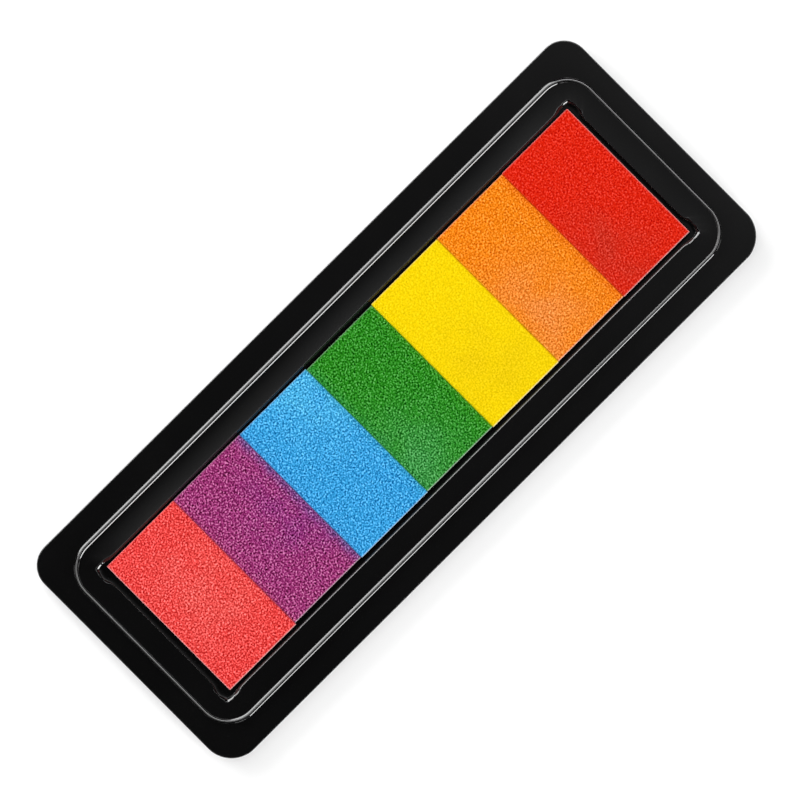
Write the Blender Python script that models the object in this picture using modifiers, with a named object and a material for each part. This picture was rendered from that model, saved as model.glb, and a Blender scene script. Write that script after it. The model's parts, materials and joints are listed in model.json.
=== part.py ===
"""A long ink pad: seven foam colour pads in a row, in a shallow black moulded base.

Metres, +Z up. The origin is the centre of the base's underside. +X runs along the row of
colours, from coral to red, and +Y across it. The base stands on the table at z = 0.
Each foam pad has its origin at the middle of its top face, on the line it travels along
when it is pressed.
"""

import math

import bmesh
import bpy
from mathutils import Matrix

MM = 0.001

# The base: a flange around a raised deck, which a round bead borders and a well opens.
BASE_LENGTH = 155.0 * MM
BASE_WIDTH = 59.5 * MM
BASE_CORNER_RADII = (6.75 * MM, 5.45 * MM)  # of its corners at -Y and at +Y
FLANGE_TOP = 7.5 * MM
FLANGE_EDGE_ROUND = 0.15 * MM
FLANGE_PLATE = 1.5 * MM
SKIRT_WALL = 1.8 * MM

BEAD_INSET_X = 4.95 * MM  # from the base's short side to the bead's crest
BEAD_INSET_Y = 5.85 * MM  # from the base's long side to the bead's crest
BEAD_CORNER_RADIUS = 6.7 * MM
BEAD_RADIUS = 0.8 * MM
DECK_TOP = 8.7 * MM
DECK_PLATE = 1.5 * MM

WELL_LENGTH = 134.9 * MM
WELL_WIDTH = 36.8 * MM
WELL_CORNER_RADIUS = 1.0 * MM
WELL_FLOOR_TOP = 2.7 * MM
WELL_FLOOR_BOTTOM = 1.5 * MM
WELL_SURROUND = 2.25 * MM  # from the well's walls to the outside of the box that holds it
WELL_SURROUND_RADIUS = 4.0 * MM
RELIEF_RADIUS = 1.95 * MM  # the well's corners are relieved, so that a square block fits
RELIEF_INSET_X = 1.4 * MM  # from the well's short wall to the relief's centre
RELIEF_INSET_Y = 1.7 * MM  # and from its long wall

# The cover closes the underside. Its pegs plug into bosses under the deck.
COVER_THICKNESS = 1.2 * MM
COVER_GAP = 0.3 * MM
BOSS_RADIUS = 2.2 * MM
BOSS_HOLE_RADIUS = 1.3 * MM
BOSS_HOLE_TOP = 5.5 * MM
PEG_RADIUS = 1.0 * MM
PEG_TOP = 4.6 * MM
BOSS_X = 62.0 * MM
BOSS_Y = 22.45 * MM

# The row of colours, and the layers below it. The pads were cut by hand, so no two are of
# quite the same size: the row's two ends and the cuts between, along X, then the sides of
# each pad, along Y. The row sits a little off the well's centre.
ROW_CUTS = [x * MM for x in (-65.77, -46.73, -27.78, -8.72, 9.92, 28.85, 47.56, 66.38)]
PAD_SIDES = {
    "coral": (-17.65 * MM, 17.84 * MM),
    "purple": (-17.30 * MM, 17.85 * MM),
    "blue": (-17.46 * MM, 17.82 * MM),
    "green": (-17.36 * MM, 17.54 * MM),
    "yellow": (-17.52 * MM, 17.71 * MM),
    "orange": (-17.40 * MM, 17.73 * MM),
    "red": (-17.50 * MM, 17.84 * MM),
}
PAD_GAP = 0.3 * MM
PAD_CORNER_RADIUS = 0.3 * MM
PAD_EDGE_ROUND = 0.35 * MM
PAD_BOTTOM = 7.6 * MM
PAD_TOP = 10.2 * MM

CORE_GAP = 0.6 * MM
CORE_SIDES = (-17.1 * MM, 17.3 * MM)
CORE_CORNER_RADIUS = 0.4 * MM
CORE_BOTTOM = 4.2 * MM
CORE_TOP = 7.4 * MM

FILM_THICKNESS = 0.2 * MM
FILM_TOP = 6.2 * MM  # lower than a foam pad's underside when it is fully pressed

ADHESIVE_BOTTOM = 3.85 * MM
ADHESIVE_TOP = 4.05 * MM
CARRIER_MARGIN = 0.25 * MM  # how far the carrier reaches past the row's ends
CARRIER_WIDTH = 36.2 * MM
CARRIER_BOTTOM = 2.9 * MM
CARRIER_TOP = 3.7 * MM
CARRIER_CORNER_RADIUS = 0.5 * MM

CORNER_STEPS = 8
EDGE_STEPS = 3
PAST = 1.0 * MM  # how far a cutter runs past the face that it opens

COLOURS = {
    "coral": (0.83, 0.08, 0.075),
    "purple": (0.30, 0.045, 0.18),
    "blue": (0.045, 0.36, 0.74),
    "green": (0.035, 0.25, 0.027),
    "yellow": (0.92, 0.66, 0.003),
    "orange": (0.88, 0.24, 0.018),
    "red": (0.72, 0.022, 0.01),
}
BLACK = (0.008, 0.008, 0.009)

BEAD_LENGTH = BASE_LENGTH - 2 * BEAD_INSET_X
BEAD_WIDTH = BASE_WIDTH - 2 * BEAD_INSET_Y
ROW_LENGTH = ROW_CUTS[-1] - ROW_CUTS[0]
ROW_MIDDLE = (ROW_CUTS[-1] + ROW_CUTS[0]) / 2


def clear_scene():
    for obj in list(bpy.data.objects):
        bpy.data.objects.remove(obj, do_unlink=True)


def new_collection(name):
    collection = bpy.data.collections.new(name)
    bpy.context.scene.collection.children.link(collection)
    return collection


def material(name, colour, roughness, metallic=0.0, specular=0.5):
    made = bpy.data.materials.new(name)
    made.use_nodes = True
    shader = made.node_tree.nodes["Principled BSDF"]
    shader.inputs["Base Color"].default_value = (*colour, 1.0)
    shader.inputs["Roughness"].default_value = roughness
    shader.inputs["Metallic"].default_value = metallic
    shader.inputs["Specular IOR Level"].default_value = specular
    made.diffuse_color = (*colour, 1.0)
    return made


def object_from(bm, name, collection, finish=None):
    """Turns the bmesh into an object of the collection, shaded smooth between sharp edges."""
    mesh = bpy.data.meshes.new(name)
    bm.to_mesh(mesh)
    bm.free()
    mesh.shade_smooth()
    mesh.set_sharp_from_angle(angle=math.radians(35.0))
    obj = bpy.data.objects.new(name, mesh)
    collection.objects.link(obj)
    if finish:
        mesh.materials.append(finish)
    return obj


def as_cutter(obj):
    obj.hide_render = True
    obj.display_type = "WIRE"
    return obj


def add_post(bm, radius, low, high, x, y, sides=16):
    bmesh.ops.create_cone(
        bm,
        cap_ends=True,
        segments=sides,
        radius1=radius,
        radius2=radius,
        depth=high - low,
        matrix=Matrix.Translation((x, y, (low + high) / 2)),
    )


def upright_edges(bm, middle_y, side):
    """A block's vertical edges on its -Y or its +Y side."""
    found = []
    for edge in bm.edges:
        first, second = (vert.co for vert in edge.verts)
        upright = abs(first.x - second.x) + abs(first.y - second.y) < abs(first.z - second.z)
        if upright and (first.y - middle_y) * side > 0.0:
            found.append(edge)
    return found


def block(
    name, collection, finish=None, *, length, width, low, high, corner_radius, centre=(0.0, 0.0)
):
    """An upright block with its four vertical edges rounded.

    The corner radius is one number, or one for the edges at -Y and one for those at +Y.
    """
    size = Matrix.Diagonal((length, width, high - low, 1.0))
    place = Matrix.Translation((centre[0], centre[1], (low + high) / 2))
    bm = bmesh.new()
    bmesh.ops.create_cube(bm, size=1.0, matrix=place @ size)
    radii = corner_radius if isinstance(corner_radius, tuple) else (corner_radius, corner_radius)
    for side, radius in zip((-1, 1), radii, strict=True):
        if radius > 0.0:
            bmesh.ops.bevel(
                bm,
                geom=upright_edges(bm, centre[1], side),
                offset=radius,
                offset_type="OFFSET",
                segments=CORNER_STEPS,
                profile=0.5,
                affect="EDGES",
            )
    return object_from(bm, name, collection, finish)


def boolean(obj, operation, other):
    modifier = obj.modifiers.new(other.name, "BOOLEAN")
    modifier.operation = operation
    modifier.object = other
    return modifier


def round_edges(obj, width, angle_deg=60.0, steps=EDGE_STEPS):
    modifier = obj.modifiers.new("edge round", "BEVEL")
    modifier.width = width
    modifier.segments = steps
    modifier.limit_method = "ANGLE"
    modifier.angle_limit = math.radians(angle_deg)
    return modifier


def boss_places():
    """The six bosses, three along each long side."""
    return [(x, y) for x in (-BOSS_X, 0.0, BOSS_X) for y in (-BOSS_Y, BOSS_Y)]


def posts(name, collection, radius, low, high):
    bm = bmesh.new()
    for x, y in boss_places():
        add_post(bm, radius, low, high, x, y)
    return as_cutter(object_from(bm, name, collection))


def bead_ring(collection):
    """The round bead's full section, swept around the deck's border."""
    half_x = BEAD_LENGTH / 2
    half_y = BEAD_WIDTH / 2
    path = []
    for quadrant in range(4):
        turn = quadrant * math.pi / 2
        side_x = 1 if quadrant in (0, 3) else -1
        side_y = 1 if quadrant in (0, 1) else -1
        centre_x = side_x * (half_x - BEAD_CORNER_RADIUS)
        centre_y = side_y * (half_y - BEAD_CORNER_RADIUS)
        for step in range(CORNER_STEPS + 1):
            angle = turn + step / CORNER_STEPS * math.pi / 2
            x = centre_x + BEAD_CORNER_RADIUS * math.cos(angle)
            y = centre_y + BEAD_CORNER_RADIUS * math.sin(angle)
            path.append((x, y, DECK_TOP, 1.0))
    curve = bpy.data.curves.new("bead_path", "CURVE")
    curve.dimensions = "3D"
    curve.bevel_depth = BEAD_RADIUS
    curve.bevel_resolution = 3
    spline = curve.splines.new("POLY")
    spline.points.add(len(path) - 1)
    for point, place in zip(spline.points, path, strict=True):
        point.co = place
    spline.use_cyclic_u = True
    swept = bpy.data.objects.new("bead_path", curve)
    collection.objects.link(swept)
    bpy.context.view_layer.update()
    mesh = bpy.data.meshes.new_from_object(
        swept.evaluated_get(bpy.context.evaluated_depsgraph_get())
    )
    bpy.data.objects.remove(swept, do_unlink=True)
    bm = bmesh.new()
    bm.from_mesh(mesh)
    bpy.data.meshes.remove(mesh)
    bmesh.ops.remove_doubles(bm, verts=bm.verts, dist=1e-6)
    bmesh.ops.recalc_face_normals(bm, faces=bm.faces)
    return as_cutter(object_from(bm, "bead_ring", collection))


def well_opening(collection):
    """The well's opening, with its corner reliefs joined on."""
    opening = block(
        "well_opening",
        collection,
        length=WELL_LENGTH,
        width=WELL_WIDTH,
        low=WELL_FLOOR_TOP,
        high=DECK_TOP + BEAD_RADIUS + PAST,
        corner_radius=WELL_CORNER_RADIUS,
    )
    bm = bmesh.new()
    for side_x in (-1, 1):
        for side_y in (-1, 1):
            add_post(
                bm,
                RELIEF_RADIUS,
                WELL_FLOOR_TOP,
                DECK_TOP + BEAD_RADIUS + PAST,
                side_x * (WELL_LENGTH / 2 - RELIEF_INSET_X),
                side_y * (WELL_WIDTH / 2 - RELIEF_INSET_Y),
                sides=24,
            )
    reliefs = as_cutter(object_from(bm, "corner_reliefs", collection))
    boolean(opening, "UNION", reliefs)
    return as_cutter(opening)


def underside_hollow(name, collection, length, width, top, corner_radius, wall_around):
    """A hollow that leaves the box around the well standing."""
    hollow = block(
        name,
        collection,
        length=length,
        width=width,
        low=-PAST,
        high=top,
        corner_radius=corner_radius,
    )
    boolean(hollow, "DIFFERENCE", wall_around)
    return as_cutter(hollow)


def base_tray(parts, cutters, finish):
    """The one-piece moulding: skirt, flange, bead, deck and well."""
    tray = block(
        "base_tray",
        parts,
        finish,
        length=BASE_LENGTH,
        width=BASE_WIDTH,
        low=0.0,
        high=FLANGE_TOP,
        corner_radius=BASE_CORNER_RADII,
    )
    round_edges(tray, FLANGE_EDGE_ROUND)
    raised_deck = block(
        "raised_deck",
        cutters,
        length=BEAD_LENGTH + 2 * BEAD_RADIUS,
        width=BEAD_WIDTH + 2 * BEAD_RADIUS,
        low=FLANGE_TOP - PAST,
        high=DECK_TOP,
        corner_radius=BEAD_CORNER_RADIUS + BEAD_RADIUS,
    )
    boolean(tray, "UNION", as_cutter(raised_deck))
    boolean(tray, "UNION", bead_ring(cutters))

    well_box = block(
        "well_box",
        cutters,
        length=WELL_LENGTH + 2 * WELL_SURROUND,
        width=WELL_WIDTH + 2 * WELL_SURROUND,
        low=WELL_FLOOR_BOTTOM,
        high=DECK_TOP,
        corner_radius=WELL_SURROUND_RADIUS,
    )
    as_cutter(well_box)
    under_flange = underside_hollow(
        "under_flange",
        cutters,
        BASE_LENGTH - 2 * SKIRT_WALL,
        BASE_WIDTH - 2 * SKIRT_WALL,
        FLANGE_TOP - FLANGE_PLATE,
        tuple(radius - SKIRT_WALL for radius in BASE_CORNER_RADII),
        well_box,
    )
    under_deck = underside_hollow(
        "under_deck",
        cutters,
        BEAD_LENGTH - 2 * BEAD_RADIUS,
        BEAD_WIDTH - 2 * BEAD_RADIUS,
        DECK_TOP - DECK_PLATE,
        BEAD_CORNER_RADIUS - BEAD_RADIUS,
        well_box,
    )
    boolean(tray, "DIFFERENCE", under_flange)
    boolean(tray, "DIFFERENCE", under_deck)
    boss_low = COVER_THICKNESS + COVER_GAP
    bosses = posts("bosses", cutters, BOSS_RADIUS, boss_low, DECK_TOP - DECK_PLATE / 2)
    boss_holes = posts("boss_holes", cutters, BOSS_HOLE_RADIUS, boss_low - PAST, BOSS_HOLE_TOP)
    boolean(tray, "UNION", bosses)
    boolean(tray, "DIFFERENCE", boss_holes)
    boolean(tray, "DIFFERENCE", well_opening(cutters))
    return tray


def base_cover(parts, cutters, finish):
    """The plate that closes the underside, flush with the skirt, with six pegs."""
    around = SKIRT_WALL + COVER_GAP
    cover = block(
        "base_cover",
        parts,
        finish,
        length=BASE_LENGTH - 2 * around,
        width=BASE_WIDTH - 2 * around,
        low=0.0,
        high=COVER_THICKNESS,
        corner_radius=tuple(radius - around for radius in BASE_CORNER_RADII),
    )
    boolean(cover, "UNION", posts("pegs", cutters, PEG_RADIUS, COVER_THICKNESS / 2, PEG_TOP))
    return cover


def pad_carrier(parts, finish):
    """The stiff plate that the row of colours is glued to."""
    return block(
        "pad_carrier",
        parts,
        finish,
        length=ROW_LENGTH + 2 * CARRIER_MARGIN,
        width=CARRIER_WIDTH,
        low=CARRIER_BOTTOM,
        high=CARRIER_TOP,
        corner_radius=CARRIER_CORNER_RADIUS,
        centre=(ROW_MIDDLE, 0.0),
    )


def adhesive_sheet(parts, finish):
    return block(
        "adhesive_sheet",
        parts,
        finish,
        length=ROW_LENGTH,
        width=CORE_SIDES[1] - CORE_SIDES[0],
        low=ADHESIVE_BOTTOM,
        high=ADHESIVE_TOP,
        corner_radius=0.0,
        centre=(ROW_MIDDLE, sum(CORE_SIDES) / 2),
    )


def foam_pad(parts, colour, index, finish):
    """One colour's foam pad, in its own frame at the middle of its top face."""
    low_x, high_x = ROW_CUTS[index : index + 2]
    low_x += PAD_GAP / 2 if index > 0 else 0.0
    high_x -= PAD_GAP / 2 if index < len(COLOURS) - 1 else 0.0
    low_y, high_y = PAD_SIDES[colour]
    pad = block(
        f"foam_pad_{colour}",
        parts,
        finish,
        length=high_x - low_x,
        width=high_y - low_y,
        low=PAD_BOTTOM - PAD_TOP,
        high=0.0,
        corner_radius=PAD_CORNER_RADIUS,
    )
    round_edges(pad, PAD_EDGE_ROUND, steps=2)
    pad.location = ((low_x + high_x) / 2, (low_y + high_y) / 2, PAD_TOP)
    return pad


def ink_core(parts, colour, index, finish):
    """The felt under one foam pad, which holds its ink and gives when it is pressed."""
    low_x, high_x = ROW_CUTS[index : index + 2]
    return block(
        f"ink_core_{colour}",
        parts,
        finish,
        length=high_x - low_x - CORE_GAP,
        width=CORE_SIDES[1] - CORE_SIDES[0],
        low=CORE_BOTTOM,
        high=CORE_TOP,
        corner_radius=CORE_CORNER_RADIUS,
        centre=((low_x + high_x) / 2, sum(CORE_SIDES) / 2),
    )


def divider_film(parts, index, finish):
    """The film between two felts, which keeps their inks apart."""
    return block(
        f"divider_film_{index + 1}",
        parts,
        finish,
        length=FILM_THICKNESS,
        width=CORE_SIDES[1] - CORE_SIDES[0],
        low=CORE_BOTTOM,
        high=FILM_TOP,
        corner_radius=0.0,
        centre=(ROW_CUTS[index + 1], sum(CORE_SIDES) / 2),
    )


def main():
    clear_scene()
    parts = new_collection("ink_pad")
    cutters = new_collection("cutters")
    gloss_black = material("gloss_black_plastic", BLACK, roughness=0.22)
    matt_black = material("matt_black_plastic", BLACK, roughness=0.5)
    clear_film = material("film", (0.75, 0.77, 0.78), roughness=0.2)
    glue = material("adhesive", (0.80, 0.78, 0.70), roughness=0.6)

    base_tray(parts, cutters, gloss_black)
    base_cover(parts, cutters, matt_black)
    pad_carrier(parts, matt_black)
    adhesive_sheet(parts, glue)
    for index, (colour, ink) in enumerate(COLOURS.items()):
        foam = material(f"foam_{colour}", ink, roughness=0.85, specular=0.25)
        felt = material(f"felt_{colour}", [0.6 * part for part in ink], roughness=0.95)
        foam_pad(parts, colour, index, foam)
        ink_core(parts, colour, index, felt)
        if index + 1 < len(COLOURS):
            divider_film(parts, index, clear_film)


main()
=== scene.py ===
"""Studio view of the long ink pad: a glossy black moulded base with seven foam colour pads.

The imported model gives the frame: metres, +Z up, +X along the row from coral to red.
"""

import json
import math

import bmesh
import bpy
import numpy as np
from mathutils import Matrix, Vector, noise

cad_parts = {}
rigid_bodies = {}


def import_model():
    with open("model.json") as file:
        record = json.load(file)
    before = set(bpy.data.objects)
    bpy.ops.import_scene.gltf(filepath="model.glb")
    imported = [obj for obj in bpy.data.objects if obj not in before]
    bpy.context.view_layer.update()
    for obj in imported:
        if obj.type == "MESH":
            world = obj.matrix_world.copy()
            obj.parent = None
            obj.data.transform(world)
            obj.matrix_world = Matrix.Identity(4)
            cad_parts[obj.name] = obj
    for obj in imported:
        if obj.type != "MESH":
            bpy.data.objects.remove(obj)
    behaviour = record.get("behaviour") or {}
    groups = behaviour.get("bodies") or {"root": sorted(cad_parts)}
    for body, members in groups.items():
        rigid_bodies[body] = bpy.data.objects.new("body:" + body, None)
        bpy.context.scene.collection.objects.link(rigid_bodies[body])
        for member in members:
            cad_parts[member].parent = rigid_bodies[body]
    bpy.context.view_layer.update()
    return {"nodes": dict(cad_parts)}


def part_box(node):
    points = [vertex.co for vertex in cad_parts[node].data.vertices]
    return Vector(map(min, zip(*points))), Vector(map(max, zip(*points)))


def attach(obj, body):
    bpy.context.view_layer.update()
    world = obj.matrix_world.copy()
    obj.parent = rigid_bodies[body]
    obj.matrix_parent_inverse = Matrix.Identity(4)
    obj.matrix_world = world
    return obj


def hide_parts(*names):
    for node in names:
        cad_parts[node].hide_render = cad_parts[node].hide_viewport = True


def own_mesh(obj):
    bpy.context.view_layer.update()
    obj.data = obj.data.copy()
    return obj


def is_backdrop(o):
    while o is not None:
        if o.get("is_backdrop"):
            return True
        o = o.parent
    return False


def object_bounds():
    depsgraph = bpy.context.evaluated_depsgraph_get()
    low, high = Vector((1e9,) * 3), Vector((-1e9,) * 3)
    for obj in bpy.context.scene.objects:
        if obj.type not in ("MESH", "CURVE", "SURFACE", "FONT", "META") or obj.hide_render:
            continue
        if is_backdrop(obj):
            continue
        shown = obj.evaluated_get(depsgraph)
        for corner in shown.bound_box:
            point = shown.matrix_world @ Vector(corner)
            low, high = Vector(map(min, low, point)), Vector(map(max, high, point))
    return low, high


for start_object in list(bpy.data.objects):
    bpy.data.objects.remove(start_object, do_unlink=True)
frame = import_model()

MM = 0.001

# The moulded base, as the CAD model has it.
BASE_CORNER_RADII = (6.75 * MM, 5.45 * MM)  # of its corners at -Y and at +Y
FLANGE_TOP = 7.5 * MM
FLANGE_EDGE_ROUND = 0.15 * MM
FLANGE_RIM_STRIP = 0.08 * MM  # the ring of faces beside the rounded edge
FLANGE_PLATE = 1.5 * MM
FOOT_EDGE_ROUND = 0.25 * MM
SKIRT_WALL = 1.8 * MM
SKIRT_STRIP = 0.10 * MM  # the rings of faces next to the skirt's rounded edges
SKIRT_CHAMFER = 0.15 * MM
BEAD_INSET = (4.95 * MM, 5.85 * MM)
BEAD_CORNER_RADIUS = 6.7 * MM
BEAD_RADIUS = 0.8 * MM
# How far each side of the bead follows the crest's arc, by the way that the side faces.
BEAD_ARC_END_DEG = 26.0  # +X or -X
BEAD_ARC_FAR_DEG = 36.0  # +Y
BEAD_ARC_NEAR_DEG = (48.0, 35.5)  # -Y: an inner side and an outer side
BEAD_ARC_WORN_DEG = 13.0  # the inner side of the -Y run flattens out to this, towards +X
BEAD_WORN_RANGE = (-5.0 * MM, 45.0 * MM)  # where along +X it flattens out
BEAD_SHOULDER = 0.07 * MM  # the radius with which the arc turns down into the side
BEAD_SIDE_DEG = 88.0  # how steep the side is
BEAD_FOOT_STRIPS = (0.10 * MM, 0.16 * MM)  # level strips at its foot: on the deck, on the flange
DECK_TOP = 8.7 * MM
DECK_PLATE = 1.5 * MM
DECK_RISE = 0.115 * MM  # how much higher the deck is at the well than at the bead, at +Y
RISE_ELSEWHERE = (0.27, 0.05)  # the same at +X, and at the other two sides, as shares of it
RISE_POWER = 8  # how suddenly a side's own rise begins on the way to that side
RISE_END_POWER = 14  # how suddenly the rise at +Y ends towards the corners
FLANGE_DROOP = 0.012 * MM  # how far the flange's outer edge hangs down at the +X end
WELL_SIZE = (134.9 * MM, 36.8 * MM)
WELL_EDGE_ROUND = (0.06 * MM, 0.45 * MM)  # at its short walls and at its long walls
WELL_FLOOR_TOP = 2.7 * MM
WELL_FLOOR_BOTTOM = 1.5 * MM
WELL_SURROUND = 2.25 * MM
WELL_SURROUND_RADIUS = 4.0 * MM
RELIEF_RADIUS = 1.95 * MM
RELIEF_INSET = (1.4 * MM, 1.7 * MM)
RELIEF_CHAMFER = 0.50 * MM  # how wide the soft chamfer is that the well's edge has at the reliefs
CHAMFER_TILT_DEG = (31.0, 9.0)  # how steep it is, and how much that varies across it
BOSS_PLACES = [(x * MM, y * MM) for x in (-62.0, 0.0, 62.0) for y in (-22.45, 22.45)]
BOSS_RADIUS = 2.2 * MM
BOSS_HOLE_RADIUS = 1.3 * MM
BOSS_HOLE_TOP = 5.5 * MM
BOSS_ROOT = 0.3 * MM  # how far a boss reaches into the deck
BOSS_CHAMFER = 0.15 * MM
BOSS_SIDES = 32

# The row of colours, from -X to +X: the ink, the shade of its worn patch, and where on the
# pad that patch is, as shares of the way along +X and +Y.
INKS = {
    "coral": ((233, 75, 73), (239, 91, 87), (0.55, 0.50)),
    "purple": ((157, 71, 120), (146, 69, 125), (0.85, 0.45)),
    "blue": ((64, 157, 217), (78, 172, 222), (0.85, 0.90)),
    "green": ((52, 134, 43), (68, 146, 74), (0.08, 0.15)),
    "yellow": ((244, 210, 2), (236, 202, 10), (0.50, 0.25)),
    "orange": ((242, 131, 30), (238, 138, 62), (0.18, 0.25)),
    "red": ((219, 41, 25), (204, 50, 36), (0.15, 0.20)),
}
COLOURS = list(INKS)


def linear(rgb):
    """Linear colour from 8-bit screen values."""
    share = np.array(rgb, float) / 255.0
    return tuple(np.where(share <= 0.04045, share / 12.92, ((share + 0.055) / 1.055) ** 2.4))


# ---------------------------------------------------------------- node helpers


class Nodes:
    """A short way to write the node tree of a material, or of the world."""

    def __init__(self, owner, shader="Principled BSDF"):
        if isinstance(owner, str):
            owner = bpy.data.materials.new(owner)
        owner.use_nodes = True
        self.owner = owner
        self.tree = owner.node_tree
        self.shader = self.tree.nodes[shader]

    def add(self, kind, **settings):
        node = self.tree.nodes.new(kind)
        for key, value in settings.items():
            setattr(node, key, value)
        return node

    def link(self, source, target):
        self.tree.links.new(source, target)

    def put(self, socket, value):
        """Links a socket's source, or sets its constant value."""
        if isinstance(value, bpy.types.NodeSocket):
            self.link(value, socket)
        else:
            socket.default_value = value

    def place(self):
        return self.add("ShaderNodeTexCoord").outputs["Object"]

    def noise(self, place, scale, detail=2.0, rough=0.5, distortion=0.0):
        node = self.add("ShaderNodeTexNoise")
        self.link(place, node.inputs["Vector"])
        node.inputs["Scale"].default_value = scale
        node.inputs["Detail"].default_value = detail
        node.inputs["Roughness"].default_value = rough
        node.inputs["Distortion"].default_value = distortion
        return node.outputs["Fac"]

    def stretch(self, place, scale):
        node = self.add("ShaderNodeMapping")
        self.link(place, node.inputs["Vector"])
        node.inputs["Scale"].default_value = scale
        return node.outputs["Vector"]

    def ramp(self, value, low, high, out_low=0.0, out_high=1.0):
        node = self.add("ShaderNodeMapRange", interpolation_type="SMOOTHSTEP")
        self.put(node.inputs["Value"], value)
        for key, number in zip(
            ("From Min", "From Max", "To Min", "To Max"), (low, high, out_low, out_high), strict=True
        ):
            node.inputs[key].default_value = number
        return node.outputs["Result"]

    def math(self, operation, first, second=0.0):
        node = self.add("ShaderNodeMath", operation=operation)
        self.put(node.inputs[0], first)
        self.put(node.inputs[1], second)
        return node.outputs["Value"]

    def mix(self, factor, first, second):
        node = self.add("ShaderNodeMix", data_type="RGBA")
        self.put(node.inputs["Factor"], factor)
        colours = [s for s in node.inputs if s.type == "RGBA"]
        for socket, value in zip(colours, (first, second), strict=True):
            self.put(socket, value if isinstance(value, bpy.types.NodeSocket) else (*value, 1.0))
        return next(s for s in node.outputs if s.type == "RGBA")

    def attribute(self, name):
        return self.add("ShaderNodeAttribute", attribute_name=name).outputs["Fac"]

    def bump(self, height, strength, distance):
        node = self.add("ShaderNodeBump")
        self.link(height, node.inputs["Height"])
        node.inputs["Strength"].default_value = strength
        node.inputs["Distance"].default_value = distance
        self.link(node.outputs["Normal"], self.shader.inputs["Normal"])

    def set(self, **values):
        """Values on the shader's own sockets, by the socket's name with underscores."""
        for key, value in values.items():
            self.put(self.shader.inputs[key.replace("_", " ")], value)
        return self.owner


# ---------------------------------------------------------------- materials


GLOSS_ROUGHNESS = (0.055, 0.075)
SCRATCH_ROUGHNESS = 0.03  # what a scratch adds
GLOSS_GRAIN = 0.02  # the fine grain's height, as a share of the flow waves'
GLOSS_DUST = 0.10


def gloss_black():
    """Polished black plastic: faint flow waves, hairline scratches and a little dust."""
    n = Nodes("gloss_black_plastic")
    place = n.place()
    scratches = n.noise(n.stretch(place, (500.0, 2600.0, 900.0)), 1.0, 3.0, 0.6, 1.5)
    cloud = n.noise(place, 60.0, 3.0)
    dust = n.ramp(n.noise(place, 2300.0, 2.0), 0.74, 0.80)
    waves = n.noise(place, 90.0, 1.0)
    grain = n.noise(place, 5200.0, 2.0)
    n.bump(n.math("ADD", waves, n.math("MULTIPLY", grain, GLOSS_GRAIN)), 0.10, 0.10 * MM)
    polish = n.ramp(cloud, 0.3, 0.7, *GLOSS_ROUGHNESS)
    dusty = n.math("MULTIPLY", dust, GLOSS_DUST)
    return n.set(
        Base_Color=n.mix(dusty, (0.0015, 0.0015, 0.0016), (0.10, 0.10, 0.10)),
        Roughness=n.math("ADD", polish, n.ramp(scratches, 0.62, 0.75, 0.0, SCRATCH_ROUGHNESS)),
        IOR=1.6,
        Coat_Weight=1.0,
        Coat_IOR=1.55,
        Coat_Roughness=0.05,
    )


def matt_black(name, tone=0.0095, specular=0.5):
    """Fine spark-eroded black plastic."""
    n = Nodes(name)
    place = n.place()
    grain = n.noise(place, 2600.0, 4.0, 0.6)
    cloud = n.noise(place, 70.0, 2.0)
    n.bump(grain, 0.35, 0.05 * MM)
    return n.set(
        Base_Color=n.mix(cloud, (tone * 0.7,) * 3, (tone * 1.3,) * 3),
        Roughness=n.ramp(grain, 0.3, 0.7, 0.42, 0.58),
        Specular_IOR_Level=specular,
    )


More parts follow.
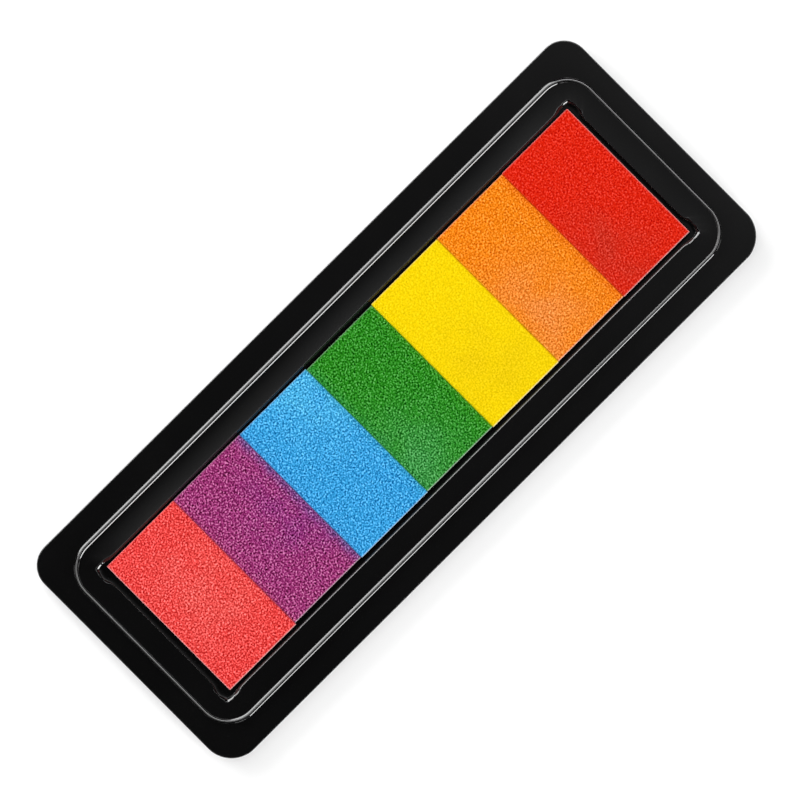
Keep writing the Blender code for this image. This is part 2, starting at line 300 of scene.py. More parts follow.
def foam(index):
    """Inked foam, its speckle partly its own and partly painted light: pale cell walls as painted
    sheen over dark pores as painted shade, painted glints on the walls' tops, and its neighbours' ink
    along the seams.
    """
    colour = COLOURS[index]
    n = Nodes(f"foam_{colour}")
    place = n.place()
    fine = n.noise(place, 4200.0, 2.0, 0.6)
    # Painted shade and sheen: the same grain that sinks the pits darkens them and lightens the raised
    # walls, over the foam's own speckle.
    cells = n.math("ADD", n.math("MULTIPLY", n.attribute("grain"), GRAIN_WEIGHT), fine)
    shade = n.ramp(cells, 0.0, 1.0)
    patchy = n.ramp(n.noise(place, 420.0, 3.0), 0.3, 0.75, 0.45, 1.0)
    ink, worn, _ = INKS[colour]
    contrast, painted_glint = GRAIN_PAINTED_SHADE_AND_GLINT[colour]

    def layer(rgb, sign):
        """The pore tone, painted darker as shade in the pits, or with sign 1 the wall tone, painted
        paler as sheen. With the painted glints, the mean of the two is the ink's own shade.
        """
        span = [np.array(rgb, float) + way * contrast for way in (-1, 1)]
        pore, wall = (np.array(linear(np.clip(tone, 0.0, TONE_MOST))) for tone in span)
        mean = np.maximum(np.array(linear(rgb)) - painted_glint * PAINTED_GLINT_SHARE, 0.0)
        true = mean * INK_LEVEL * 2.0 / (pore + wall)
        return tuple(np.clip((wall if sign > 0 else pore) * true, 0.0, ALBEDO_MOST))

    tones = []
    for sign in (-1, 1):
        tint = n.mix(n.attribute("worn"), layer(ink, sign), layer(worn, sign))
        for side, name in ((-1, "bleed_low"), (1, "bleed_high")):
            if 0 <= index + side < len(COLOURS):
                other = layer(INKS[COLOURS[index + side]][0], sign)
                both = tuple(np.sqrt(np.array(layer(ink, sign)) * np.array(other)) * SEAM_DEPTH)
                tint = n.mix(n.math("MULTIPLY", n.attribute(name), patchy), tint, both)
        tones.append(tint)
    # Painted highlight: the pads' outer top edges are painted paler than the ink, as if lit.
    painted_edge_tone = tuple((1.0 - (1.0 - np.array(linear(ink))) * EDGE_INK) * INK_LEVEL)
    n.bump(fine, 0.4, 0.06 * MM)
    # Painted highlights: a grey added to the base colour on the walls' tops stands in for glints of
    # light off the wet foam.
    level = painted_glint * INK_LEVEL
    painted_glints = n.add("ShaderNodeMix", data_type="RGBA", blend_type="ADD")
    painted_glint_factor, first, second = (s for s in painted_glints.inputs if s.enabled and s.type != "VECTOR")
    n.link(n.ramp(cells, *PAINTED_GLINT_RANGE), painted_glint_factor)
    n.link(n.mix(shade, *tones), first)
    second.default_value = (level, level, level, 1.0)
    grain_with_painted_light = next(s for s in painted_glints.outputs if s.type == "RGBA")
    return n.set(
        Base_Color=n.mix(n.attribute("edge"), grain_with_painted_light, painted_edge_tone),
        Roughness=n.ramp(shade, 0.0, 1.0, 0.9, 0.65),
        Specular_IOR_Level=0.03,
    )


def felt(index):
    """Pressed felt soaked with ink."""
    colour = COLOURS[index]
    wet = np.array(linear(INKS[colour][0])) * 0.6
    n = Nodes(f"felt_{colour}")
    place = n.place()
    fibre = n.noise(n.stretch(place, (900.0, 900.0, 3200.0)), 1.0, 4.0, 0.65, 1.2)
    n.bump(fibre, 0.6, 0.15 * MM)
    return n.set(
        Base_Color=n.mix(n.ramp(fibre, 0.3, 0.7), tuple(wet * 0.45), tuple(wet)),
        Roughness=n.ramp(fibre, 0.3, 0.7, 0.95, 0.7),
        Sheen_Weight=0.2,
    )


def film_plastic():
    """Thin clear film, pale grey and a little cloudy."""
    n = Nodes("divider_film_plastic")
    cloud = n.noise(n.place(), 400.0, 3.0)
    return n.set(
        Base_Color=n.mix(cloud, (0.62, 0.65, 0.67), (0.80, 0.82, 0.83)),
        Roughness=n.ramp(cloud, 0.3, 0.7, 0.18, 0.32),
    )


def adhesive():
    """Double-sided tape: slightly yellow, with trapped bubbles."""
    n = Nodes("adhesive_tape")
    place = n.place()
    bubbles = n.ramp(n.noise(place, 900.0, 2.0), 0.62, 0.70)
    n.bump(bubbles, 0.4, 0.05 * MM)
    return n.set(
        Base_Color=n.mix(bubbles, (0.66, 0.62, 0.50), (0.80, 0.78, 0.70)),
        Roughness=n.ramp(bubbles, 0.0, 1.0, 0.45, 0.6),
    )


# ---------------------------------------------------------------- shapes

QUARTER_SHORT = 12  # points along half of a short side
QUARTER_LONG = 36  # points along half of a long side
CORNER_STRAIGHT = 4
CORNER_ARC = 41
CORNER_REACH = 9.0 * MM  # every outline's corner points begin this far from its corner
RELIEF_REACH_RADIUS = 4.0 * MM  # how far from its centre a relief has run out into the walls
RELIEF_BLEND = 6.0  # a higher power makes the wall meet the relief more sharply
EDGE_TILTS_DEG = (90, 80, 70, 62, 54, 47, 42, 38, 35, 32, 29, 26, 22, 18, 14, 10, 7, 4, 2, 0)
EDGE_STEPS = 4  # grid steps over half of a rounded block's edge
DECK_SHARES = (0.012, 0.05, 0.12, 0.22, 0.34, 0.48, 0.62, 0.76, 0.9, 0.985, 1.0)
FLANGE_SHARES = (0.25, 0.5, 0.75, 1.0)


def around(far, near):
    """The closed outline from two quarters that run from +X to +Y: one for the outline's +Y
    half, and one for its -Y half.
    """
    flip_x = far[::-1] * (-1, 1)
    flip_y = near[::-1] * (1, -1)
    return np.concatenate([far, flip_x[1:], -near[1:], flip_y[1:-1]])


def quarter_from(half_x, half_y, corner):
    side = np.linspace(0.0, half_y - CORNER_REACH, QUARTER_SHORT, endpoint=False)
    top = np.linspace(half_x - CORNER_REACH, 0.0, QUARTER_LONG + 1)[1:]
    return np.concatenate(
        [
            np.column_stack([np.full_like(side, half_x), side]),
            corner,
            np.column_stack([top, np.full_like(top, half_y)]),
        ]
    )


def corner_with(half_x, half_y, begins, curve):
    """A corner's points: straight, then the curve, which begins and ends at the two distances
    from the corner, then straight again.
    """
    low = half_y - np.linspace(CORNER_REACH, begins[0], CORNER_STRAIGHT, endpoint=False)
    high = half_x - np.linspace(CORNER_REACH, begins[1], CORNER_STRAIGHT, endpoint=False)[::-1]
    return np.concatenate(
        [
            np.column_stack([np.full_like(low, half_x), low]),
            curve,
            np.column_stack([high, np.full_like(high, half_y)]),
        ]
    )


def round_quarter(half_x, half_y, radius):
    turn = np.linspace(0.0, math.pi / 2, CORNER_ARC)
    arc = np.column_stack(
        [half_x - radius + radius * np.cos(turn), half_y - radius + radius * np.sin(turn)]
    )
    return quarter_from(half_x, half_y, corner_with(half_x, half_y, (radius, radius), arc))


def rounded(half_x, half_y, radius_near, radius_far):
    """A rectangle's outline with round corners: their radius at -Y and at +Y."""
    far, near = (round_quarter(half_x, half_y, radius) for radius in (radius_far, radius_near))
    return around(far, near)


def outward(outline):
    """The direction out of a closed outline at each of its points."""
    along = np.roll(outline, -1, axis=0) - np.roll(outline, 1, axis=0)
    away = np.column_stack([along[:, 1], -along[:, 0]])
    return away / np.linalg.norm(away, axis=1)[:, None]


def grown(outline, grow):
    """The outline, grown outwards. How far may differ from point to point."""
    return outline + outward(outline) * np.broadcast_to(grow, len(outline))[:, None]


def well_outline():
    """The well's outline: straight walls with a round relief at each corner."""
    half_x, half_y = (size / 2 for size in WELL_SIZE)
    inset_x, inset_y = RELIEF_INSET
    begin = -math.acos(inset_x / RELIEF_REACH_RADIUS)
    finish = math.pi / 2 + math.acos(inset_y / RELIEF_REACH_RADIUS)
    turn = np.linspace(begin, finish, CORNER_ARC)
    wall = 1.0 / np.maximum(np.cos(turn) / inset_x, np.sin(turn) / inset_y)
    share = RELIEF_RADIUS / wall
    length = wall * (1.0 + share**RELIEF_BLEND) ** (1.0 / RELIEF_BLEND)
    curve = np.column_stack(
        [half_x - inset_x + length * np.cos(turn), half_y - inset_y + length * np.sin(turn)]
    )
    low_reach = half_y - curve[0, 1]
    high_reach = half_x - curve[-1, 0]
    corner = corner_with(half_x, half_y, (low_reach, high_reach), curve)
    quarter = quarter_from(half_x, half_y, corner)
    return around(quarter, quarter)


def diagonal_share(outline):
    """How diagonally each point of an outline faces, from 0 to 1."""
    away = outward(outline)
    return np.abs(2.0 * away[:, 0] * away[:, 1]) ** 0.8


def edge_profile(bend):
    """A rounded edge of width 1, as steps from its wall to its top: each step's distance from
    the wall, and its drop. The bend says how much of the edge lies at each tilt.
    """
    tilt = np.linspace(0.0, math.pi / 2, 901)
    part = bend(tilt) * (tilt[1] - tilt[0])
    across, down = (np.cumsum(part * way) for way in (np.cos(tilt), np.sin(tilt)))
    at = np.radians(EDGE_TILTS_DEG)
    width = across[-1] - across[0]
    across, down = (np.interp(at, tilt, run - run[0]) / width for run in (across, down))
    return list(zip(1.0 - across, down, strict=True))


def chamfer_bend(tilt):
    middle, spread = np.radians(CHAMFER_TILT_DEG)
    return 0.02 + np.exp(-(((tilt - middle) / spread) ** 2))


def mesh_object(name, points, faces, material, smooth_deg=40.0):
    mesh = bpy.data.meshes.new(name)
    mesh.from_pydata(np.asarray(points).tolist(), [], faces)
    mesh.validate()
    made = bmesh.new()
    made.from_mesh(mesh)
    bmesh.ops.recalc_face_normals(made, faces=made.faces)
    made.to_mesh(mesh)
    made.free()
    mesh.shade_smooth()
    mesh.set_sharp_from_angle(angle=math.radians(smooth_deg))
    mesh.materials.append(material)
    obj = bpy.data.objects.new(name, mesh)
    bpy.context.scene.collection.objects.link(obj)
    return obj


def loft(rings):
    """Points and faces of a closed body through the rings, with a flat face on each end."""
    count = len(rings[0][0])
    points = np.concatenate(
        [np.column_stack([xy, np.broadcast_to(z, count)]) for xy, z in rings]
    )
    faces = []
    for ring in range(len(rings) - 1):
        low, high = ring * count, (ring + 1) * count
        for i in range(count):
            j = (i + 1) % count
            faces.append((low + i, low + j, high + j, high + i))
    faces.append(tuple(range(count)))
    faces.append(tuple(range((len(rings) - 1) * count, len(rings) * count))[::-1])
    return points, faces


def arc_steps(first_deg, last_deg, steps):
    return [math.radians(a) for a in np.linspace(first_deg, last_deg, steps)]


def bead_half(arc_deg):
    """One side of the bead's section, from the crest down, as offsets and heights per point.

    The crest is an arc of the full radius, and a tight shoulder turns down into a steep side.
    """
    first = np.radians(arc_deg)
    crest = DECK_TOP + BEAD_RADIUS
    half = []
    for share in np.linspace(0.0, 1.0, 13)[1:]:
        turn = first * share
        half.append((BEAD_RADIUS * np.sin(turn), crest - BEAD_RADIUS * (1 - np.cos(turn))))
    x, z = half[-1]
    for share in np.linspace(0.0, 1.0, 6)[1:]:
        turn = first + (math.radians(BEAD_SIDE_DEG) - first) * share
        offset = x + BEAD_SHOULDER * (np.sin(turn) - np.sin(first))
        half.append((offset, z - BEAD_SHOULDER * (np.cos(first) - np.cos(turn))))
    return half


def bead_arc(facing_y, near_deg, far_deg):
    """How far round a side of the bead is, by how much it faces +Y."""
    side_deg = np.where(facing_y > 0.0, far_deg, near_deg)
    return BEAD_ARC_END_DEG + (side_deg - BEAD_ARC_END_DEG) * np.abs(facing_y) ** 3


def tray_rings():
    """The moulding's section, from the well's floor outwards, over and back underneath."""
    low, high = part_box("base_tray")
    half = ((high.x - low.x) / 2, (high.y - low.y) / 2)

    def outer(inset):
        return rounded(half[0] - inset, half[1] - inset, *(r - inset for r in BASE_CORNER_RADII))

    def bead(offset):
        return grown(bead_crest, offset)

    bead_half_x, bead_half_y = (size - inset for size, inset in zip(half, BEAD_INSET, strict=True))
    bead_crest = rounded(bead_half_x, bead_half_y, BEAD_CORNER_RADIUS, BEAD_CORNER_RADIUS)
    well = well_outline()
    wall_round = np.interp(np.abs(outward(well)[:, 1]) ** 2, (0.0, 1.0), WELL_EDGE_ROUND)
    chamfer = RELIEF_CHAMFER * diagonal_share(well)
    share_x, share_y = (well / np.abs(well).max(axis=0)).T
    at_x, at_y = (np.clip(share, 0.0, 1.0) ** RISE_POWER for share in (share_x, share_y))
    rise_x, rise_least = RISE_ELSEWHERE
    far_side = at_y * (1.0 - np.abs(share_x) ** RISE_END_POWER)
    rise = DECK_RISE * np.maximum(np.maximum(far_side, at_x * rise_x), rise_least)
    rings = [(well, WELL_FLOOR_TOP)]
    for plain, soft in zip(edge_profile(np.ones_like), edge_profile(chamfer_bend), strict=True):
        grow, drop = (wall_round * p + chamfer * s for p, s in zip(plain, soft, strict=True))
        rings.append((grown(well, grow), DECK_TOP + rise - drop))
    facing_y = outward(bead_crest)[:, 1]
    inner_near_deg, outer_near_deg = BEAD_ARC_NEAR_DEG
    worn_span = (BEAD_ARC_FAR_DEG, BEAD_ARC_WORN_DEG)
    worn_deg = np.interp(bead_crest[:, 0], BEAD_WORN_RANGE, worn_span)
    inner_half = bead_half(bead_arc(-facing_y, inner_near_deg, worn_deg))
    outer_half = bead_half(bead_arc(facing_y, outer_near_deg, BEAD_ARC_FAR_DEG))
    inner_side, outer_side = inner_half[-1][0], outer_half[-1][0]
    deck_strip, flange_strip = BEAD_FOOT_STRIPS
    well_edge, deck_end = rings[-1][0], bead(-inner_side - deck_strip)
    for share in DECK_SHARES:
        rings.append((well_edge * (1 - share) + deck_end * share, DECK_TOP + rise * (1 - share) ** 2))
    rings.append((bead(-inner_side), DECK_TOP))
    rings += [(bead(-offset), height) for offset, height in inner_half[::-1]]
    rings.append((bead_crest, DECK_TOP + BEAD_RADIUS))
    rings += [(bead(offset), height) for offset, height in outer_half]
    rings.append((bead(outer_side), FLANGE_TOP))
    foot, rim = bead(outer_side + flange_strip), outer(FLANGE_EDGE_ROUND + FLANGE_RIM_STRIP)
    rings.append((foot, FLANGE_TOP))
    droop = FLANGE_DROOP * np.clip(rim[:, 0] / half[0], 0.0, 1.0) ** RISE_POWER
    for share in FLANGE_SHARES:
        rings.append((foot * (1 - share) + rim * share, FLANGE_TOP - droop * share**2))
    for turn in arc_steps(0, 90, 9):
        inset = FLANGE_EDGE_ROUND * (1.0 - math.sin(turn))
        drop = FLANGE_EDGE_ROUND * (1.0 - math.cos(turn))
        rings.append((outer(inset), FLANGE_TOP - droop - drop))
    rings.append((outer(0.0), FLANGE_TOP - FLANGE_DROOP - FLANGE_EDGE_ROUND - SKIRT_STRIP))
    rings.append((outer(0.0), FOOT_EDGE_ROUND + SKIRT_STRIP))
    for turn in arc_steps(0, 90, 5):
        inset = FOOT_EDGE_ROUND * (1.0 - math.cos(turn))
        rings.append((outer(inset), FOOT_EDGE_ROUND * (1.0 - math.sin(turn))))
    rings.append((outer(SKIRT_WALL - SKIRT_CHAMFER), 0.0))
    rings.append((outer(SKIRT_WALL), SKIRT_CHAMFER))
    rings.append((outer(SKIRT_WALL), FLANGE_TOP - FLANGE_PLATE))
    rings.append((bead(-BEAD_RADIUS), FLANGE_TOP - FLANGE_PLATE))
    rings.append((bead(-BEAD_RADIUS), DECK_TOP - DECK_PLATE))
    half_box = [size / 2 + WELL_SURROUND for size in WELL_SIZE]
    box = rounded(*half_box, WELL_SURROUND_RADIUS, WELL_SURROUND_RADIUS)
    rings.append((box, DECK_TOP - DECK_PLATE))
    rings.append((box, WELL_FLOOR_BOTTOM))
    return rings


def boss_rings():
    """One hollow boss's turned section, as closed round rings from inside to outside."""
    turn = np.linspace(0.0, 2 * math.pi, BOSS_SIDES, endpoint=False)
    circle = np.column_stack([np.cos(turn), np.sin(turn)])
    return [
        (circle * BOSS_HOLE_RADIUS, BOSS_HOLE_TOP),
        (circle * BOSS_HOLE_RADIUS, WELL_FLOOR_BOTTOM + BOSS_CHAMFER),
        (circle * (BOSS_HOLE_RADIUS + BOSS_CHAMFER), WELL_FLOOR_BOTTOM),
        (circle * (BOSS_RADIUS - BOSS_CHAMFER), WELL_FLOOR_BOTTOM),
        (circle * BOSS_RADIUS, WELL_FLOOR_BOTTOM + BOSS_CHAMFER),
        (circle * BOSS_RADIUS, DECK_TOP - DECK_PLATE + BOSS_ROOT),
    ]


def tray(material):
    points, faces = loft(tray_rings())
    for x, y in BOSS_PLACES:
        boss_points, boss_faces = loft(boss_rings())
        start = len(points)
        points = np.concatenate([points, boss_points + (x, y, 0.0)])
        faces += [tuple(start + i for i in face) for face in boss_faces]
    obj = mesh_object("moulded_tray", points, faces, material, 50.0)
    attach(obj, "base")
    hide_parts("base_tray")
    return obj


def edge_places(low, high, radius, step):
    """Places along one side of a rounded block: close together where its edges turn."""
    turn = np.linspace(0.0, 1.0, EDGE_STEPS + 1)[:-1]
    edge = radius * (1.0 - np.tan((1.0 - turn) * math.pi / 4))
    count = max(2, round((high - low - 2 * radius) / step) + 1)
    middle = np.linspace(low + radius, high - radius, count)
    return np.concatenate([low + edge, middle, (high - edge)[::-1]])


def rounded_block(low, high, radius, step):
    """A closed block with rounded edges, as a fine grid on its top and its sides.

    Gives its points, their outward directions, its faces, and each point's place in the grid.
    """
    xs, ys, zs = (edge_places(a, b, radius, step) for a, b in zip(low, high, strict=True))
    nx, ny, nz = len(xs), len(ys), len(zs)
    number = -np.ones((nx, ny, nz), int)
    shell = np.zeros((nx, ny, nz), bool)
    shell[0], shell[-1], shell[:, 0], shell[:, -1], shell[:, :, -1] = True, True, True, True, True
    number[shell] = np.arange(shell.sum())
    places = np.nonzero(shell)
    grid = np.column_stack([along[at] for along, at in zip((xs, ys, zs), places, strict=True)])
    inner = np.clip(grid, np.array(low) + radius, np.array(high) - radius)
    away = grid - inner
    away /= np.linalg.norm(away, axis=1)[:, None]

    def sheet(numbers):
        a, b, c, d = numbers[:-1, :-1], numbers[1:, :-1], numbers[1:, 1:], numbers[:-1, 1:]
        return np.stack([a, b, c, d], axis=-1).reshape(-1, 4)

    faces = np.concatenate(
        [
            sheet(number[:, :, -1]),
            sheet(number[:, 0, :]),
            sheet(number[:, -1, :]),
            sheet(number[0]),
            sheet(number[-1]),
        ]
    ).tolist()
    rim = [number[i, 0, 0] for i in range(nx)]
    rim += [number[-1, j, 0] for j in range(1, ny)]
    rim += [number[i, -1, 0] for i in range(nx - 2, -1, -1)]
    rim += [number[0, j, 0] for j in range(ny - 2, 0, -1)]
    faces.append([int(n) for n in rim])
    return inner + radius * away, away, faces, places


def grain_field(shape, step, cell, seed):
    """An even random texture over a grid: bumps and pits about one cell apart, around zero."""
    spectrum = np.fft.rfft2(np.random.default_rng(seed).standard_normal(shape))
    waves = np.hypot(np.fft.fftfreq(shape[0], step)[:, None], np.fft.rfftfreq(shape[1], step))
    spectrum *= np.exp(-(((waves * cell - 1.0) / GRAIN_SPREAD) ** 2))
    field = np.fft.irfft2(spectrum, s=shape)
    return field / field.std()


def grain_at(places, step, cell, seed):
    """The texture at each point of a block's grid. Each layer down its sides takes a new row."""
    i, j, k = places
    field = grain_field((i.max() + 1, j.max() + 1), step, cell, seed)
    depth = k.max() - k
    return field[(i + 3 * depth) % field.shape[0], (j + 5 * depth) % field.shape[1]]


def slow_relief(points, size, seed):
    shift = Vector((seed * 2.11, seed * 5.73, 0.0))
    return np.array([noise.noise(Vector(point) / size + shift) for point in points])


# ---------------------------------------------------------------- the coloured pads

INK_LEVEL = 0.80  # the inks' share of their colours on the screen, for this light
GRAIN_PAINTED_SHADE_AND_GLINT = {  # how far the walls (painted sheen) and pores (painted shade) stand from the ink's own shade, of 255, and the painted glints
    "coral": (60, 0.120),
    "purple": (92, 0.190),
    "blue": (60, 0.110),
    "green": (62, 0.085),
    "yellow": (18, 0.008),
    "orange": (42, 0.050),
    "red": (30, 0.038),
}
PAINTED_GLINT_RANGE = (0.52, 0.95)  # where the painted glints lie: the tops of the walls
PAINTED_GLINT_SHARE = 0.20  # the painted glints' mean
GRAIN_WEIGHT = 0.19  # how much the mesh's own grain sets the foam's painted shade in the pits and sheen on the tops, beside a finer noise
TONE_MOST = 300.0  # of 255: a wall may be paler than the screen's white
ALBEDO_MOST = 0.95
EDGE_INK = 0.45  # how much of the ink's colour stays in the painted highlight along the cut edges
SEAM_BLEED = {  # how far each pad's inks have run together inward from its -X and +X seams
    "coral": (0.0, 0.10),
    "purple": (0.20, 0.75),
    "blue": (0.10, 0.22),
    "green": (0.60, 0.15),
    "yellow": (0.10, 0.05),
    "orange": (0.05, 0.30),
    "red": (0.05, 0.0),
}
SEAM_INK = 0.75  # the same, at the seam itself
SEAM_DEPTH = 0.86  # two inks together are darker than either
SEAM_REACH = 0.28 * MM
FOAM_STEP = 0.125 * MM
FOAM_CELL = 0.66 * MM
GRAIN_SPREAD = 0.75  # how much the cells differ in size
FOAM_RELIEF = 0.025 * MM
RELIEF_MOST = 2.0  # the relief is cut off this far out, as a multiple of its height
SIDE_RELIEF = (0.5, 0.15)  # its share on an upright side: a free one, and one at a seam
FOAM_EDGE_ROUND = 0.16 * MM
FOAM_LIFT = 0.02 * MM  # from the felt
FOAM_TOP_ROOM = 0.03 * MM  # from the CAD solid's top
SEAM_GAP = 0.025 * MM  # from a pad to the middle of the seam with its neighbour
CROWN = 0.10 * MM
CROWN_SHARE = 0.6
SWELL_SIZE = 5.0 * MM  # slow ups and downs in the tops
SWELL_HEIGHT = 0.04 * MM
BLEED_REACH = 1.3 * MM
EDGE_REACH = 0.22 * MM
PAINTED_EDGE_HIGHLIGHT = {"-Y": 0.8, "+Y": 0.3, "-X": 0.7, "+X": 0.5}  # how strong the painted highlight along the row's cut edges is, by side
WORN_SIZE = (9.0 * MM, 11.0 * MM)
WORN_LEVEL = (0.85, 0.9)  # how worn the patch is, and how much the slow swell changes it
FELT_STEP = 0.5 * MM
FELT_CELL = 1.6 * MM
FELT_EDGE_ROUND = 0.35 * MM
FELT_FUZZ = 0.05 * MM
FELT_SEED = 21  # the foam pads' seeds are 1 to 7


def seam_bleed(distance, share):
    """How much the inks mix, by the distance from the seam."""
    wide = share * np.exp(-((distance / BLEED_REACH) ** 2))
    return np.maximum(wide, SEAM_INK * np.exp(-((distance / SEAM_REACH) ** 2)))


def foam_pad(index):
    colour = COLOURS[index]
    node = f"foam_pad_{colour}"
    low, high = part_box(node)
    low.z += FOAM_LIFT
    first, last = index == 0, index == len(COLOURS) - 1
    if not first:
        low.x = (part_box(f"foam_pad_{COLOURS[index - 1]}")[1].x + low.x) / 2 + SEAM_GAP
    if not last:
        high.x = (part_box(f"foam_pad_{COLOURS[index + 1]}")[0].x + high.x) / 2 - SEAM_GAP
    high.z -= RELIEF_MOST * FOAM_RELIEF + FOAM_TOP_ROOM
    step = FOAM_STEP
    points, away, faces, places = rounded_block(tuple(low), tuple(high), FOAM_EDGE_ROUND, step)
    grain = grain_at(places, step, FOAM_CELL, index + 1)
    slow = slow_relief(points, SWELL_SIZE, index + 1)
    to_low, to_high = points[:, 0] - low.x, high.x - points[:, 0]
    to_side = np.minimum(points[:, 1] - low.y, high.y - points[:, 1])
    up = np.clip(away[:, 2], 0.0, 1.0)
    at_seam = (np.abs(away[:, 0]) > 0.3) & np.where(away[:, 0] < 0, not first, not last)
    free_side, seam_side = SIDE_RELIEF
    depth = np.where(
        at_seam, seam_side + (1.0 - seam_side) * up**2, free_side + (1.0 - free_side) * up
    )
    relief = FOAM_RELIEF * np.clip(grain, -RELIEF_MOST, RELIEF_MOST) * depth
    moved = points + away * relief[:, None]
    middle = (np.array(low) + np.array(high)) / 2
    half = (np.array(high) - np.array(low)) / 2
    pillow = np.sum(((points[:, :2] - middle[:2]) / half[:2]) ** 4, axis=1)
    sunk = CROWN * np.clip(pillow, 0.0, 1.0) * CROWN_SHARE
    moved[:, 2] -= up * (sunk - SWELL_HEIGHT * slow)
    obj = mesh_object(f"{colour}_foam", moved, faces, foam(index), 80.0)
    # Painted highlight along the row's outer top edges, strongest at -Y and -X.
    free_x = np.minimum(to_low if first else np.inf, to_high if last else np.inf)
    nearest = np.minimum(to_side, free_x)
    edge_highlight = np.where(points[:, 1] < middle[1], PAINTED_EDGE_HIGHLIGHT["-Y"], PAINTED_EDGE_HIGHLIGHT["+Y"])
    if first:
        edge_highlight = np.where(to_low < to_side, PAINTED_EDGE_HIGHLIGHT["-X"], edge_highlight)
    if last:
        edge_highlight = np.where(to_high < to_side, PAINTED_EDGE_HIGHLIGHT["+X"], edge_highlight)
    edge = np.clip(1.0 - nearest / EDGE_REACH, 0.0, 1.0) * edge_highlight
    share_low, share_high = SEAM_BLEED[colour]
    patch = np.array(low)[:2] + 2.0 * half[:2] * INKS[colour][2]
    from_patch = np.sum(((points[:, :2] - patch) / WORN_SIZE) ** 2, axis=1)
    worn_most, worn_swell = WORN_LEVEL
    for name, values in (
        ("grain", grain),
        ("edge", edge),
        ("bleed_low", seam_bleed(to_low, share_low)),
        ("bleed_high", seam_bleed(to_high, share_high)),
        ("worn", np.clip(np.exp(-from_patch) * (worn_most + worn_swell * slow), 0.0, 1.0)),
    ):
        layer = obj.data.attributes.new(name, "FLOAT", "POINT")
        layer.data.foreach_set("value", values.astype(np.float32))
    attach(obj, f"{colour}_pad")
    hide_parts(node)
    return obj


def ink_core(index):
    """The felt below a foam pad."""
    colour = COLOURS[index]
    node = f"ink_core_{colour}"
    low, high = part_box(node)
    points, away, faces, places = rounded_block(tuple(low), tuple(high), FELT_EDGE_ROUND, FELT_STEP)
    fuzz = np.clip(grain_at(places, FELT_STEP, FELT_CELL, index + FELT_SEED), -2.0, 1.0)
    points = points + away * (FELT_FUZZ * (fuzz - 1.0))[:, None]
    obj = mesh_object(f"{colour}_felt", points, faces, felt(index), 80.0)
    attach(obj, "base")
    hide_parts(node)
    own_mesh(obj)
    return obj


# ---------------------------------------------------------------- studio


def softbox(name, azimuth_deg, elevation_deg, size, radiance, diffuse=True, glossy=True):
    """A rectangular light that faces the deck's middle. Azimuth is from +X towards +Y. A light
    can be left out of what lights matt surfaces, or out of what gloss reflects.
    """
    azimuth, elevation = math.radians(azimuth_deg), math.radians(elevation_deg)
    away = Vector(
        (
            math.cos(elevation) * math.cos(azimuth),
            math.cos(elevation) * math.sin(azimuth),
            math.sin(elevation),
        )
    )
    light = bpy.data.lights.new(name, "AREA")
    light.shape = "RECTANGLE"
    light.size, light.size_y = size
    light.energy = radiance * math.pi * size[0] * size[1]
    obj = bpy.data.objects.new(name, light)
    bpy.context.scene.collection.objects.link(obj)
    obj.location = Vector((0.0, 0.0, DECK_TOP)) + away * LIGHT_DISTANCE
    obj.rotation_euler = (-away).to_track_quat("-Z", "Y").to_euler()
    obj.visible_camera = False
    obj.visible_diffuse = diffuse
    obj.visible_glossy = glossy
    return obj


LIGHT_DISTANCE = 0.55
CORNER_LIGHTS = {"far_right": 35.0, "far_left": 145.0, "near_left": -122.0, "near_right": -58.0}
SKY_RING_DEG = (70.0, 73.5, 78.5, 82.0)  # elevations: begins, is full, is still full, ends
SKY_RING_LEVEL = 4.2
SKY_LEVEL = 0.001  # the rest of the sky, as a share of the ring
SKY_LEAN = 2.0  # how much brighter the ring gets towards +X and +Y
GLOW_MASK = (0.94, 0.96)  # a faint glow begins here, by the sine of the elevation
GLOW_LEVEL = 0.026  # its strength overhead
GLOW_SLOPE = 0.23  # how it grows towards +X
GLOW_RISE = (1.05, 1.6)  # and further off the middle, towards +X and towards +Y
GLOW_FLAT = (0.035, 0.03)  # how far off the middle that begins
VIEW_TURN_DEG = -44.86  # the picture's right-hand direction, turned from +X
VIEW_WIDTH = 163.2 * MM  # what the picture spans, at the flange
VIEW_SHIFT = (0.45 * MM, 0.15 * MM)  # from the object's centre to the picture's, right and up
LENS_MM = 250.0
SENSOR_MM = 36.0
FLOOR_HALF = 3.0
FLOOR_GLOW = 0.475
FLOOR_DROP = 0.02 * MM  # from the object's foot


def camera():
    low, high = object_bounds()
    middle = (low + high) / 2
    turn = math.radians(VIEW_TURN_DEG)
    right = Vector((math.cos(turn), math.sin(turn), 0.0))
    up = Vector((-math.sin(turn), math.cos(turn), 0.0))
    data = bpy.data.cameras.new("camera")
    data.lens = LENS_MM
    data.sensor_width = SENSOR_MM
    obj = bpy.data.objects.new("camera", data)
    bpy.context.scene.collection.objects.link(obj)
    distance = VIEW_WIDTH * LENS_MM / SENSOR_MM
    at = Vector((middle.x, middle.y, FLANGE_TOP + distance))
    obj.location = at + right * VIEW_SHIFT[0] + up * VIEW_SHIFT[1]
    obj.rotation_euler = (0.0, 0.0, turn)
    data.clip_start = distance * 0.1
    data.clip_end = distance * 10.0
    bpy.context.scene.camera = obj


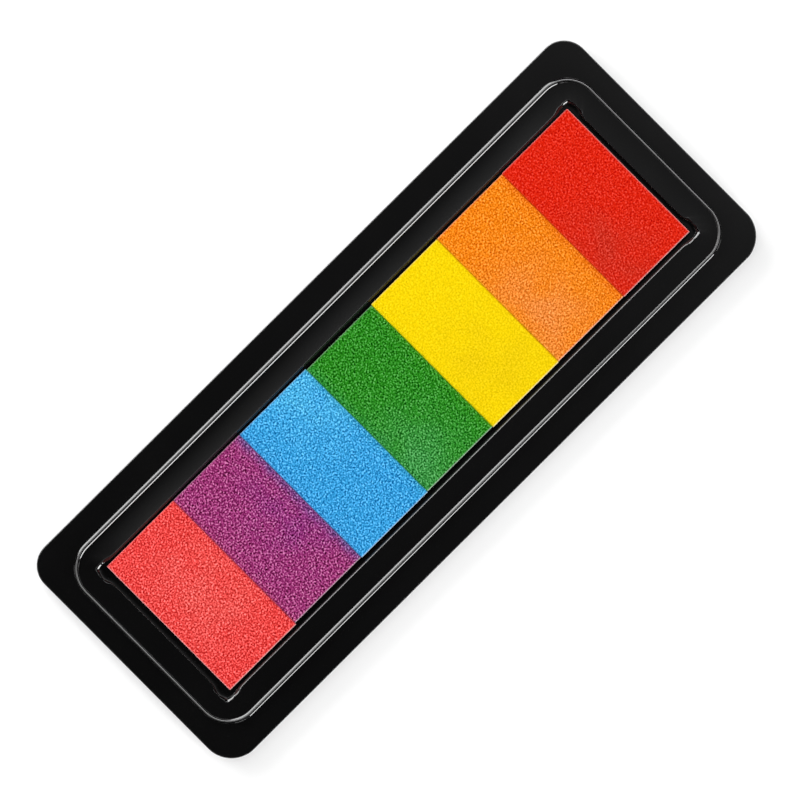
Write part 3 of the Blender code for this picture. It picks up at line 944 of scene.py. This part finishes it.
def floor():
    n = Nodes("floor_paper")
    tone = n.noise(n.place(), 30.0, 2.0)
    material = n.set(
        Base_Color=n.mix(tone, (0.50, 0.50, 0.50), (0.53, 0.53, 0.53)),
        Roughness=0.9,
        Specular_IOR_Level=0.1,
        Emission_Color=(1.0, 1.0, 1.0, 1.0),
        Emission_Strength=FLOOR_GLOW,
    )
    corners = [(x * FLOOR_HALF, y * FLOOR_HALF, 0.0) for x, y in ((-1, -1), (1, -1), (1, 1), (-1, 1))]
    obj = mesh_object("floor", corners, [(0, 1, 2, 3)], material)
    obj.location.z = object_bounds()[0].z - FLOOR_DROP
    obj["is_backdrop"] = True


def ring_sky(n):
    """A dim sky with a ring of light round a dark middle overhead, brightest towards +X +Y."""
    split = n.add("ShaderNodeSeparateXYZ")
    n.link(n.add("ShaderNodeTexCoord").outputs["Generated"], split.inputs["Vector"])
    east, north, up = (split.outputs[axis] for axis in "XYZ")
    ring = n.add("ShaderNodeValToRGB")
    n.link(up, ring.inputs["Fac"])
    stops = [0.0] + [math.sin(math.radians(elevation)) for elevation in SKY_RING_DEG] + [1.0]
    levels = [SKY_LEVEL, SKY_LEVEL, 1.0, 1.0, SKY_LEVEL, SKY_LEVEL]
    while len(ring.color_ramp.elements) < len(stops):
        ring.color_ramp.elements.new(0.5)
    for element, place, level in zip(ring.color_ramp.elements, stops, levels, strict=True):
        element.position = place
        element.color = (level, level, level, 1.0)
    lean = n.math("ADD", n.math("MULTIPLY", n.math("ADD", east, north), SKY_LEAN), 1.0)
    ring_part = n.math("MULTIPLY", n.math("MULTIPLY", lean, SKY_RING_LEVEL), ring.outputs["Color"])
    glow = n.math("ADD", n.math("MULTIPLY", east, GLOW_SLOPE), GLOW_LEVEL)
    for way, flat, rise in zip((east, north), GLOW_FLAT, GLOW_RISE, strict=True):
        past = n.math("MAXIMUM", n.math("SUBTRACT", way, flat), 0.0)
        glow = n.math("ADD", glow, n.math("MULTIPLY", past, rise))
    glow = n.math("MAXIMUM", glow, 0.0)
    glow = n.math("MULTIPLY", glow, n.ramp(up, *GLOW_MASK))
    strength = n.math("ADD", n.math("MAXIMUM", ring_part, 0.0), glow)
    n.link(strength, n.shader.inputs["Strength"])
    n.shader.inputs["Color"].default_value = (1.0, 1.0, 1.0, 1.0)


def studio():
    scene = bpy.context.scene
    scene.view_settings.view_transform = "Standard"
    world = bpy.data.worlds.new("studio")
    ring_sky(Nodes(world, "Background"))
    scene.world = world
    softbox("light_far_side", 90.0, 46.0, (0.42, 0.34), 6.0)
    softbox("light_near_side", -90.0, 20.0, (0.30, 0.30), 8.5)
    softbox("light_overhead", 90.0, 90.0, (0.50, 0.50), 1.15, glossy=False)
    for name, azimuth_deg in CORNER_LIGHTS.items():
        softbox(f"light_{name}_corner", azimuth_deg, 20.0, (0.16, 0.08), 3.5, diffuse=False)


def build():
    camera()
    floor()
    tray(gloss_black())
    for index in range(len(COLOURS)):
        foam_pad(index)
        ink_core(index)
    looks = {
        "base_cover": matt_black("cover_plastic"),
        "pad_carrier": matt_black("carrier_plastic", 0.002, 0.06),
        "adhesive_sheet": adhesive(),
    }
    clear = film_plastic()
    for number in range(1, len(COLOURS)):
        looks[f"divider_film_{number}"] = clear
    for node, material in looks.items():
        materials = frame["nodes"][node].data.materials
        materials.clear()
        materials.append(material)
    studio()


build()
